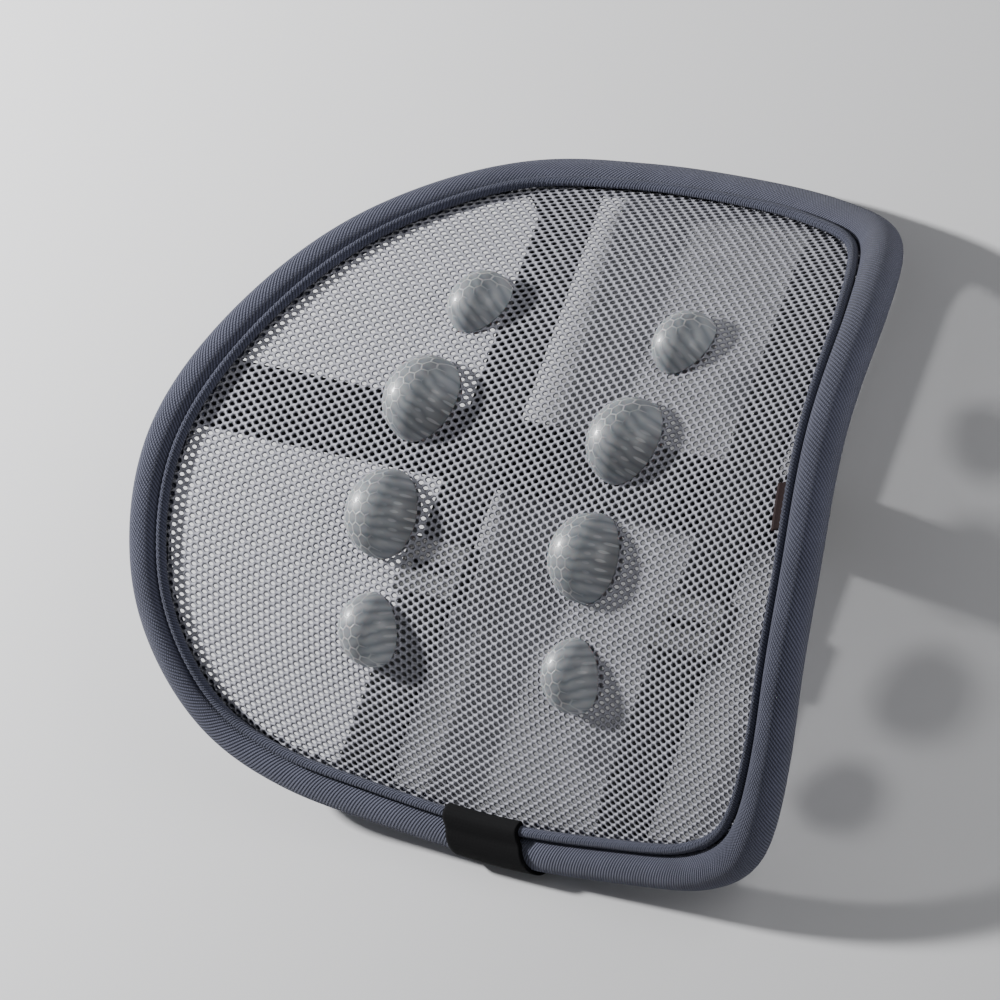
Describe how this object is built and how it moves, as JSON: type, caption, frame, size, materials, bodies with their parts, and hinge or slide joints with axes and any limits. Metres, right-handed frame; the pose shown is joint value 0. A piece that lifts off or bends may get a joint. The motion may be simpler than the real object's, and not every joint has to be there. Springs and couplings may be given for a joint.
{
  "type": "lumbar support cushion",
  "caption": "Bent ring frame with a fabric edge that stretches a breathable mesh panel with raised silicone massage domes; webbing straps with sliders hold the bend and a third strap goes round the chair back",
  "frame": {"origin": "on the table under the middle of the whole support, lying face up", "axes": "+X across the back to the user's right as seen from the front, +Y up the back, +Z out of the front towards the user"},
  "size_m": [0.4216, 0.2916, 0.0933],
  "materials": {
    "spring_steel": "drawn wire, satin",
    "foam": "soft foam, matt",
    "edge_fabric": "blue-grey twill, matt",
    "piping_fabric": "corded twill, matt",
    "mesh_fabric": "open warp-knit mesh",
    "silicone": "translucent, satin gloss",
    "webbing": "black webbing, matt",
    "slider_plastic": "moulded, fine texture",
    "label_fabric": "woven satin",
    "tab_fabric": "close black cloth, matt"
  },
  "bodies": {
    "support": {"frame_wire": "spring_steel", "wire_ferrule": "spring_steel", "foam_sleeve": "foam", "edge_binding": "edge_fabric", "piping_cord": "piping_fabric", "mesh_panel": "mesh_fabric", "side_label": "label_fabric", "dome_left_1": "silicone", "dome_left_2": "silicone", "dome_left_3": "silicone", "dome_left_4": "silicone", "dome_right_1": "silicone", "dome_right_2": "silicone", "dome_right_3": "silicone", "dome_right_4": "silicone", "dome_backing_left_1": "silicone", "dome_backing_left_2": "silicone", "dome_backing_left_3": "silicone", "dome_backing_left_4": "silicone", "dome_backing_right_1": "silicone", "dome_backing_right_2": "silicone", "dome_backing_right_3": "silicone", "dome_backing_right_4": "silicone", "joint_tab": "tab_fabric", "bend_strap_left": "webbing", "bend_strap_right": "webbing", "chair_strap": "webbing"},
    "slider_left": {"slider_left": "slider_plastic"},
    "slider_right": {"slider_right": "slider_plastic"}
  },
  "joints": [
    {"name": "slider_left_slide", "type": "slide", "parent": "support", "child": "slider_left", "axis": [0, 1, 0], "range_m": [-0.045, 0.11]},
    {"name": "slider_right_slide", "type": "slide", "parent": "support", "child": "slider_right", "axis": [0, 1, 0], "range_m": [-0.045, 0.11]}
  ]
}
